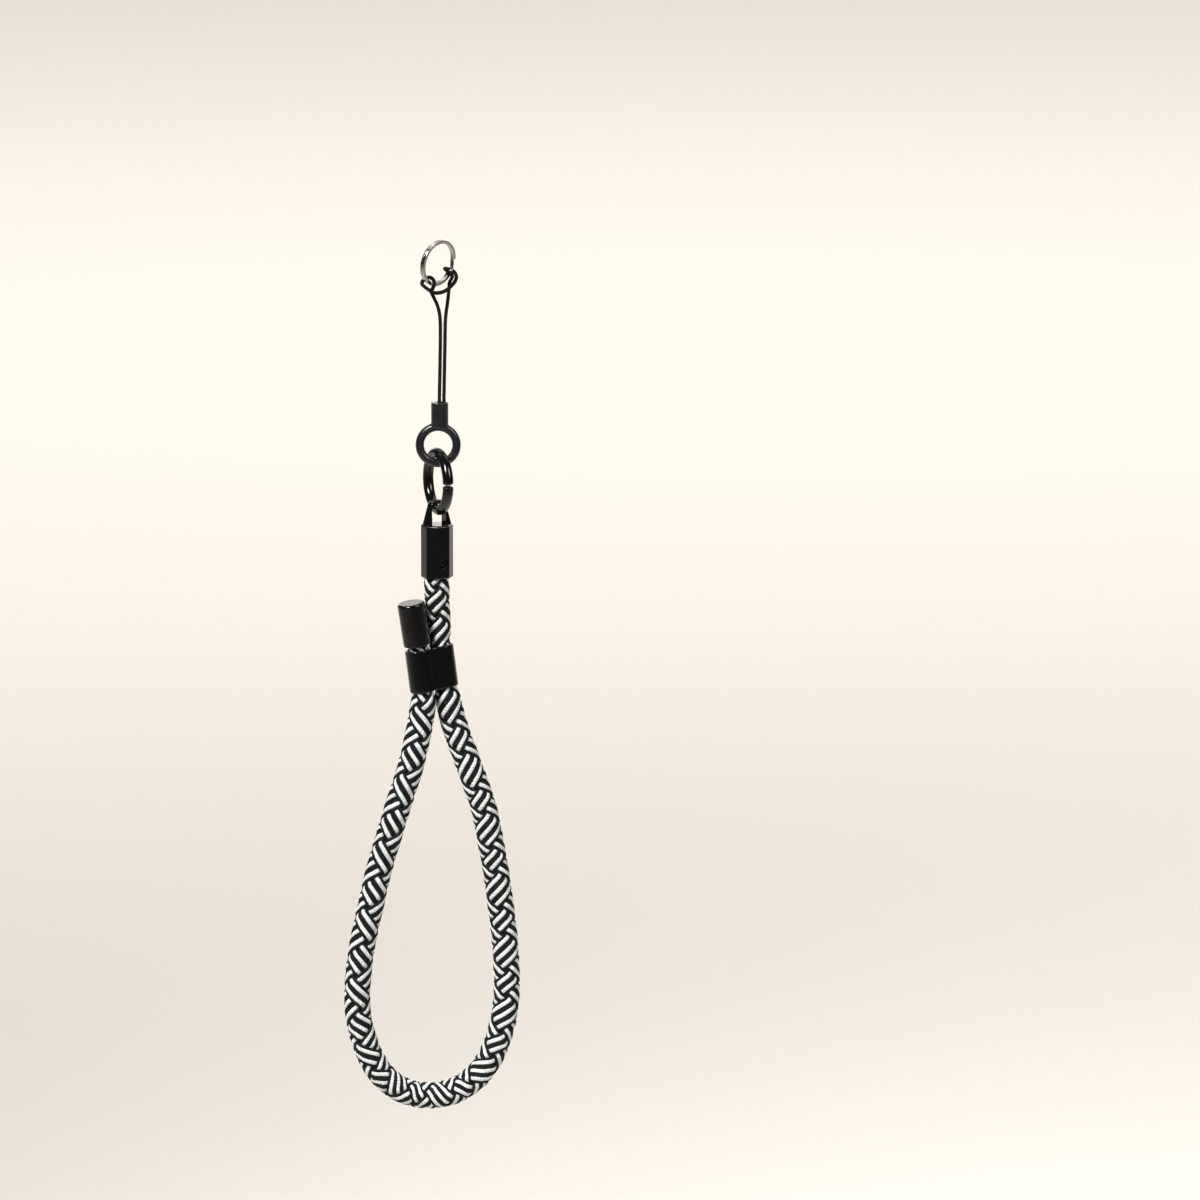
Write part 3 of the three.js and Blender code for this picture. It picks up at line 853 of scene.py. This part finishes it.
class STRAP_OT_thin_cord(Operator):
    """Braids the thin cord through its hitch on the split ring"""

    bl_idname = "strap.thin_cord"
    bl_label = "Thin cord"

    def execute(self, context):
        sizes, colours = chosen(context)
        points, _ = curve_points(hitch_route(sizes.split_radius), 24)
        line = Line(eased(points * MM, 30))
        pitch, strands, rings_per_turn = 3.6 * MM, 4, 16
        # Shares of the cord's radius, but the flatness is a share of a yarn's width.
        lies_at, sways, half_width, flatness, filled = 0.70, 0.11, 0.40, 0.50, 0.62
        radius = sizes.cord_diameter / 2
        long = line.along[-1]
        where = np.linspace(0, long, int(long / pitch * rings_per_turn))
        tubes = []
        for hand in (1, -1):
            for strand in range(strands):
                turns = hand * where / pitch + strand / strands
                crossing = 2 * where / pitch * strands + (strand if hand == 1 else -strand)
                level = np.sin(pi * crossing + (0 if hand == 1 else pi) + pi * strand)
                away = radius * (lies_at + sways * level)
                centre, outward = line.around(where, 2 * pi * turns, away)
                flat = np.full_like(where, radius * half_width)
                tubes.append(yarn_tube(centre, outward, flat, flat * flatness, 6))
        where = where[::4]
        filling = np.full_like(where, radius * filled)
        centre, outward = line.at(where, line.points), line.at(where, line.front)
        tubes.append(yarn_tube(centre, outward, filling, filling, 8))
        cord = mesh_of("thin_cord", tubes)
        material = yarn_material("black_cord", colours.black_cord, True)
        finished(cord, material, "cord_loop")
        return {"FINISHED"}


# ---- rings and eyelet


class STRAP_OT_split_ring(Operator):
    """Winds the split ring's flat wire through its two coils"""

    bl_idname = "strap.split_ring"
    bl_label = "Split ring"

    def execute(self, context):
        sizes, colours = chosen(context)
        width, thickness, corner, pitch = 1.1 * MM, 0.65 * MM, 0.14 * MM, 0.75 * MM
        bpy.ops.mesh.primitive_plane_add(
            size=1, location=(sizes.split_radius, 0, 0), rotation=(pi / 2, 0, 0)
        )
        ring = added("split_ring_coils", (width, thickness, 1))
        edit(ring, "VERT")
        select_all()
        bpy.ops.mesh.bevel(offset=corner, segments=3, affect="VERTICES")
        bpy.ops.transform.translate(value=(0, 0, -pitch / 2))
        coil_steps, coil = 110, radians(360 - 2 * SPLIT_STEP_SPAN)
        spin(coil_steps, coil)
        steps = 18
        for i in range(steps):
            rise = smoothstep((i + 1) / steps, 0, 1) - smoothstep(i / steps, 0, 1)
            spin(1, radians(2 * SPLIT_STEP_SPAN / steps))
            bpy.ops.transform.translate(value=(0, 0, pitch * float(rise)))
        spin(coil_steps, coil)
        weld()
        face_outward()
        leave()
        axes = (SPLIT_FOOT, -SPLIT_SIDE, SPLIT_AXIS, SPLIT_CENTRE)
        matrix = Matrix([[axis[k] for axis in axes] for k in range(3)] + [(0, 0, 0, 1)])
        place(ring, matrix @ turn_z(-SPLIT_STEP_ANGLE - SPLIT_STEP_SPAN))
        smooth(ring, 40)
        finished(ring, steel_material(colours.bright_steel), "split_ring")
        return {"FINISHED"}


class STRAP_OT_cord_eyelet(Operator):
    """Moulds the sleeve and the round eyelet in one"""

    bl_idname = "strap.cord_eyelet"
    bl_label = "Cord eyelet"

    def execute(self, context):
        sizes, colours = chosen(context)
        foot = Vector((SLEEVE_X, 0, SLEEVE_FOOT)) * MM
        height = (SLEEVE_TOP - SLEEVE_FOOT) * MM
        across = (pi / 2, 0, 0)
        cylinder(72, sizes.sleeve_radius, height, foot + Vector((0, 0, height / 2)))
        sleeve = added("cord_eyelet_body")
        edit(sleeve)
        round_edges(sleeve, at_height(foot.z), 1.2, 5)
        leave()
        bpy.ops.mesh.primitive_torus_add(
            location=EYELET_CENTRE, rotation=across, major_segments=112, minor_segments=32,
            major_radius=sizes.eyelet_radius, minor_radius=1.3 * MM,
        )
        torus = added("eyelet_ring")
        drill(sleeve, 96, sizes.eyelet_radius, 8 * MM, EYELET_CENTRE, across)
        combine(sleeve, torus, "UNION")
        modify(sleeve, "REMESH", mode="VOXEL", voxel_size=0.11 * MM)
        modify(sleeve, "SMOOTH", factor=0.5, iterations=7)
        mouth = Vector((LEG_X, 0, SLEEVE_TOP)) * MM
        drill(sleeve, 48, 1.6 * MM, 2 * SLEEVE_BORE_DEPTH * MM, mouth)
        smooth(sleeve, 50, weighted=False)
        material = black_material("black_moulding", colours.black_moulding, 0.22, 0.34, 2600.0)
        finished(sleeve, material, "cord_eyelet")
        return {"FINISHED"}


class STRAP_OT_jump_ring(Operator):
    """Bends the heavy jump ring and butts its ends"""

    bl_idname = "strap.jump_ring"
    bl_label = "Jump ring"

    def execute(self, context):
        sizes, colours = chosen(context)
        end_length, narrowing, gap, near = 0.55 * MM, 0.60 * MM, 0.15 * MM, 0.2 * MM
        open_half = (gap + end_length) / sizes.jump_radius
        start = (sizes.jump_radius, 0, 0)
        bpy.ops.mesh.primitive_circle_add(
            vertices=48, radius=sizes.jump_wire, fill_type="NGON", location=start
        )
        ring = added("jump_ring_wire")
        edit(ring, "FACE")
        select_all()
        spin(170, 2 * pi - 2 * open_half, axis=(0, 1, 0))
        weld()
        far = 2 * open_half
        ends = (
            (Vector((1, 0, 0)), Vector((0, 0, -1))),
            (Vector((cos(far), 0, -sin(far))), Vector((sin(far), 0, cos(far)))),
        )
        for toward, outward in ends:
            middle = toward * sizes.jump_radius

            def wire_end(face):
                return len(face.verts) > 8 and (face.calc_center_median() - middle).length < near

            pick(ring, wire_end, "faces")
            before, steps = sizes.jump_wire, 6
            for i in range(1, steps + 1):
                ahead = outward * (end_length / steps)
                extrude(ahead)
                middle = middle + ahead
                after = sizes.jump_wire - narrowing * (i / steps) ** 1.7
                share = after / before
                resize((share, share, share), middle)
                before = after
        face_outward()
        leave()
        place(ring, Matrix.Rotation(-open_half, 4, "Y"))
        place(ring, Matrix.Translation(JUMP_CENTRE) @ turn_z(JUMP_YAW))
        smooth(ring, 40)
        material = black_material("black_metal_ring", colours.black_metal, 0.09, 0.17, 1800.0)
        finished(ring, material, "jump_ring")
        return {"FINISHED"}


# ---- ferrule and screw


def ferrule_place():
    return Matrix.Translation(FERRULE_FOOT) @ turn_z(FERRULE_YAW)


def ferrule_eye(height, softened):
    """The flattened, slotted eye that stands on a barrel of some height."""
    cone, dome, foot_depth = 5.6 * MM, 2.15 * MM, 0.7 * MM
    middle, top = height + cone / 2, height + cone
    bpy.ops.mesh.primitive_cone_add(
        vertices=40, radius1=4.46 * MM, radius2=2.95 * MM, depth=cone, location=(0, 0, middle)
    )
    eye = added("eye")
    edit(eye, "FACE")
    pick(eye, lambda f: f.calc_center_median().z < height + TINY, "faces")
    extrude((0, 0, -foot_depth))
    resize((0.985, 0.985, 1), (0, 0, height))
    pick(eye, lambda f: f.calc_center_median().z > top - TINY, "faces")
    for i in range(1, 9):
        before, angle = (i - 1) * pi / 18, i * pi / 18
        extrude((0, 0, dome * (sin(angle) - sin(before))))
        share = cos(angle) / cos(before)
        resize((share, share, 1), (0, 0, top))
    leave()

    # The eye narrows by a millimetre over its height of 8.75; the slab stands 9 above the barrel.
    width, narrowed = 3.5, 1.0 * 9 / 8.75
    bpy.ops.mesh.primitive_cube_add(size=1, location=(0, 0, height + 3 * MM))
    slab = added("slab", (14 * MM, width * MM, 12 * MM))
    edit(slab, "VERT")
    pick(slab, lambda v: v.co.z > height, "verts")
    resize((1, (width - narrowed) / width, 1), (0, 0, 0))
    leave()
    combine(eye, slab, "INTERSECT")

    bpy.ops.mesh.primitive_cube_add(size=1, location=(0, 0, height + 2.2 * MM))
    slot = added("slot", (4.7 * MM, 14 * MM, 8.4 * MM))
    edit(slot)

    def upper_and_across(edge):
        one, other = edge.verts
        return min(one.co.z, other.co.z) > height + 6 * MM and abs(one.co.x - other.co.x) < TINY

    round_edges(slot, upper_and_across, 1.0, 8)
    leave()
    combine(eye, slot, "DIFFERENCE")
    soften(eye, softened, 28)
    return eye


class STRAP_OT_eye_ferrule(Operator):
    """Turns and mills the eight-sided ferrule with its flattened eye"""

    bl_idname = "strap.eye_ferrule"
    bl_label = "Eye ferrule"

    def execute(self, context):
        sizes, colours = chosen(context)
        height = BARREL_HEIGHT * MM
        corner = sizes.barrel_flats / 2 / cos(pi / 8)
        bore, hole, softened, on_rim = 3.75 * MM, 1.45 * MM, 0.11, 2e-5
        cylinder(8, corner, height, (0, 0, height / 2), (0, 0, pi / 8))
        barrel = added("eye_ferrule_body")
        edit(barrel)
        round_edges(barrel, at_height(height), 0.42, 1)
        round_edges(barrel, at_height(0), 0.26, 1)
        leave()
        soften(barrel, softened, 24)
        combine(barrel, ferrule_eye(height, softened), "UNION")
        drill(barrel, 64, bore, 19 * MM)
        drill(barrel, 48, hole, 6 * MM, (0, -5.5 * MM, SCREW_HEIGHT * MM), (pi / 2, 0, 0))

        def on_bore(place):
            return place.z < TINY and abs(hypot(place.x, place.y) - bore) < on_rim

        def on_hole(place):
            from_axis = hypot(place.x, place.z - SCREW_HEIGHT * MM)
            return place.y < -4.3 * MM and abs(from_axis - hole) < on_rim

        edit(barrel)
        round_edges(barrel, lambda e: all(on_bore(v.co) for v in e.verts), 0.18, 2)
        round_edges(barrel, lambda e: all(on_hole(v.co) for v in e.verts), 0.12, 2)
        leave()
        place(barrel, ferrule_place())
        smooth(barrel, 30)
        material = black_material("black_metal", colours.black_metal, 0.10, 0.20, 1800.0)
        finished(barrel, material, "eye_ferrule")
        return {"FINISHED"}


class STRAP_OT_grub_screw(Operator):
    """Makes the socketed set screw"""

    bl_idname = "strap.grub_screw"
    bl_label = "Grub screw"

    def execute(self, context):
        sizes, colours = chosen(context)
        out = sizes.barrel_flats / 2 - 0.4 * MM
        length, socket_radius = 1.9 * MM, 0.55 * MM
        cylinder(48, 1.2 * MM, length, (0, 0, -length / 2))
        screw = added("grub_screw_body")
        edit(screw)
        round_edges(screw, at_height(0), 0.16, 2)
        round_edges(screw, at_height(-length), 0.3, 2)
        leave()
        drill(screw, 6, socket_radius / cos(pi / 6), 1.8 * MM)
        soften(screw, 0.04, 40)
        stand = Matrix.Rotation(pi / 2, 4, "X")
        place(screw, ferrule_place() @ Matrix.Translation((0, -out, SCREW_HEIGHT * MM)) @ stand)
        smooth(screw, 35)
        material = black_material("black_screw", colours.black_metal, 0.22, 0.34, 2400.0)
        finished(screw, material, "grub_screw")
        return {"FINISHED"}


# ---- slider and cap


class STRAP_OT_slider(Operator):
    """Makes the two-hole slide"""

    bl_idname = "strap.slider"
    bl_label = "Slider"

    def execute(self, context):
        sizes, colours = chosen(context)
        height = sizes.slider_height
        half, lobe, waist, hole = 3.9 * MM, 4.1 * MM, 3.3 * MM, 3.45 * MM
        hollow = (half * half + waist * waist - lobe * lobe) / (2 * (lobe - waist))
        rise = waist + hollow
        touch = atan2(rise, -half)
        start = Vector((half + lobe * cos(touch), lobe * sin(touch), -height / 2))
        bend = atan2(start.x, rise - start.y)
        bpy.ops.mesh.primitive_plane_add(size=0.1 * MM, location=start)
        body = added("slider_body")
        edit(body, "VERT")
        select_all()
        bpy.ops.mesh.merge(type="CENTER")
        select_all()
        for side in (1, -1):
            spin(64, 2 * touch, (side * half, 0, -height / 2))
            spin(14, -2 * bend, (0, -side * rise, -height / 2))
        weld(2e-5)
        bpy.ops.mesh.edge_face_add()
        extrude((0, 0, height))
        face_outward()
        bpy.ops.mesh.select_mode(type="EDGE")

        def on_end(edge):
            return at_height(-height / 2)(edge) or at_height(height / 2)(edge)

        def on_rim(edge):
            from_holes = (hypot(abs(v.co.x) - half, v.co.y) for v in edge.verts)
            return on_end(edge) and all(abs(r - hole) < 2 * TINY for r in from_holes)

        round_edges(body, on_end, 0.34, 4)
        leave()
        for side in (-1, 1):
            drill(body, 80, hole, height * 2, (side * half, 0, 0))
        edit(body)
        round_edges(body, on_rim, 0.16, 2, clamp_overlap=False)
        leave()
        lean = Matrix.Rotation(radians(SLIDER_LEAN), 4, "Y")
        place(body, Matrix.Translation(SLIDER_CENTRE) @ lean @ turn_z(SLIDER_YAW))
        smooth(body, 32)
        material = black_material("black_satin_slider", colours.black_satin, *SATIN)
        finished(body, material, "slider")
        return {"FINISHED"}


class STRAP_OT_end_cap(Operator):
    """Makes the cap on the rope's free end"""

    bl_idname = "strap.end_cap"
    bl_label = "End cap"

    def execute(self, context):
        sizes, colours = chosen(context)
        length, rim, bore, bore_depth = sizes.cap_length, 0.25, 3.45, 11
        cylinder(112, sizes.cap_radius, length, (0, 0, length / 2))
        cap = added("end_cap_shell")
        edit(cap)
        round_edges(cap, at_height(length), 0.75, 6)
        round_edges(cap, at_height(0), rim, 3)
        bpy.ops.mesh.select_mode(type="FACE")
        pick(cap, lambda f: f.normal.z < -0.99 and len(f.verts) > 50, "faces")
        bpy.ops.mesh.inset(thickness=sizes.cap_radius - rim * MM - bore * MM)
        extrude((0, 0, bore_depth * MM))
        face_outward()
        leave()
        place(cap, standing(CAP_FOOT, CAP_TOP))
        smooth(cap, 40)
        material = black_material("black_satin_cap", colours.black_satin, *SATIN)
        finished(cap, material, "end_cap")
        return {"FINISHED"}


# ---- camera, floor and lights


class STRAP_OT_camera(Operator):
    """Sets the camera a little above the strap, looking straight at it"""

    bl_idname = "strap.camera"
    bl_label = "Camera"

    def execute(self, context):
        data = bpy.data.cameras.new("camera")
        data.lens = 300
        data.sensor_width = 36
        data.clip_end = 60
        camera = linked("camera", data)
        target, seen_width, rise = Vector((0.04735, 0, -0.1105)), 0.36923, radians(10)
        back = Vector((0, -cos(rise), sin(rise)))
        camera.location = target + back * (seen_width * data.lens / data.sensor_width)
        camera.rotation_euler = (pi / 2 - rise, 0, 0)
        context.scene.camera = camera
        return {"FINISHED"}


def area_light(name, place_at, target, size, spread, power, colour):
    """A rectangular softbox aimed at a target; a spread in degrees narrows its beam."""
    data = bpy.data.lights.new(name, "AREA")
    data.shape = "RECTANGLE"
    data.size, data.size_y = size
    data.energy = power
    data.color = colour
    data.spread = radians(spread)
    light = linked(name, data)
    light.location = place_at
    light.rotation_euler = (Vector(target) - light.location).to_track_quat("-Z", "Y").to_euler()


class STRAP_OT_stage(Operator):
    """Lays the pale floor and hangs the soft studio lights"""

    bl_idname = "strap.stage"
    bl_label = "Stage"

    def execute(self, context):
        scene, colour = context.scene, context.scene.strap_colours.floor
        foot = (0, 0, -0.45)
        bpy.ops.mesh.primitive_circle_add(vertices=96, radius=9, fill_type="NGON", location=foot)
        floor = added("floor")
        made = Shading("pale_floor")
        cloud = made.noise(made.place, 0.6)
        tones = made.ramp(cloud, (0.3, shade(colour, 0.985)), (0.7, tuple(colour)))
        surface = {"Base Color": tones, "Roughness": 0.9, "Specular IOR Level": 0.1}
        floor.data.materials.append(made.surface(surface))
        world = bpy.data.worlds.new("studio")
        world.use_nodes = True
        background = world.node_tree.nodes["Background"]
        background.inputs["Color"].default_value = (1.0, 0.97, 0.93, 1)
        background.inputs["Strength"].default_value = 0.05
        scene.world = world
        middle = (0, 0, -0.13)
        area_light("key", (-0.95, -1.25, 1.25), middle, (0.45, 0.95), 28, 2.7, (1.0, 0.985, 0.965))
        area_light("fill", (1.35, -0.95, 1.0), middle, (1.2, 1.2), 40, 2.1, (1.0, 0.985, 0.97))
        area_light("back", (0.4, 6.2, 1.35), (0.2, 0, 0.3), (7, 3.6), 180, 125, (1.0, 0.97, 0.93))
        under = (0.1, 2.48, -0.5)
        area_light("over_floor", (0.1, 2.38, 2.3), under, (5, 3.2), 110, 65, (1.0, 0.955, 0.90))
        scene.view_settings.view_transform = "Standard"
        return {"FINISHED"}


class STRAP_PT_panel(Panel):
    """Lists the strap's pieces, sizes and colours"""

    bl_label = "Wrist Strap"
    bl_idname = "STRAP_PT_panel"
    bl_space_type = "VIEW_3D"
    bl_region_type = "UI"
    bl_category = "Wrist Strap"

    def draw(self, context):
        layout = self.layout
        for group in (context.scene.strap_sizes, context.scene.strap_colours):
            box = layout.box()
            for name in group.bl_rna.properties.keys():
                if name not in ("rna_type", "name"):
                    box.prop(group, name)
        for operator in OPERATORS:
            layout.operator(operator.bl_idname)


OPERATORS = (
    STRAP_OT_camera, STRAP_OT_end_cap, STRAP_OT_slider, STRAP_OT_rope, STRAP_OT_thin_cord,
    STRAP_OT_split_ring, STRAP_OT_cord_eyelet, STRAP_OT_jump_ring, STRAP_OT_eye_ferrule,
    STRAP_OT_grub_screw, STRAP_OT_stage,
)
CLASSES = (StrapSizes, StrapColours, *OPERATORS, STRAP_PT_panel)


def register():
    for cls in CLASSES:
        bpy.utils.register_class(cls)
    bpy.types.Scene.strap_sizes = PointerProperty(type=StrapSizes)
    bpy.types.Scene.strap_colours = PointerProperty(type=StrapColours)


def unregister():
    del bpy.types.Scene.strap_colours
    del bpy.types.Scene.strap_sizes
    for cls in reversed(CLASSES):
        bpy.utils.unregister_class(cls)


def main():
    register()
    bpy.ops.strap.camera()
    bpy.ops.strap.end_cap()
    bpy.ops.strap.slider()
    bpy.ops.strap.rope()
    bpy.ops.strap.thin_cord()
    bpy.ops.strap.split_ring()
    bpy.ops.strap.cord_eyelet()
    bpy.ops.strap.jump_ring()
    bpy.ops.strap.eye_ferrule()
    bpy.ops.strap.grub_screw()
    bpy.ops.strap.stage()
    bpy.context.view_layer.update()


if __name__ == "__main__":
    main()
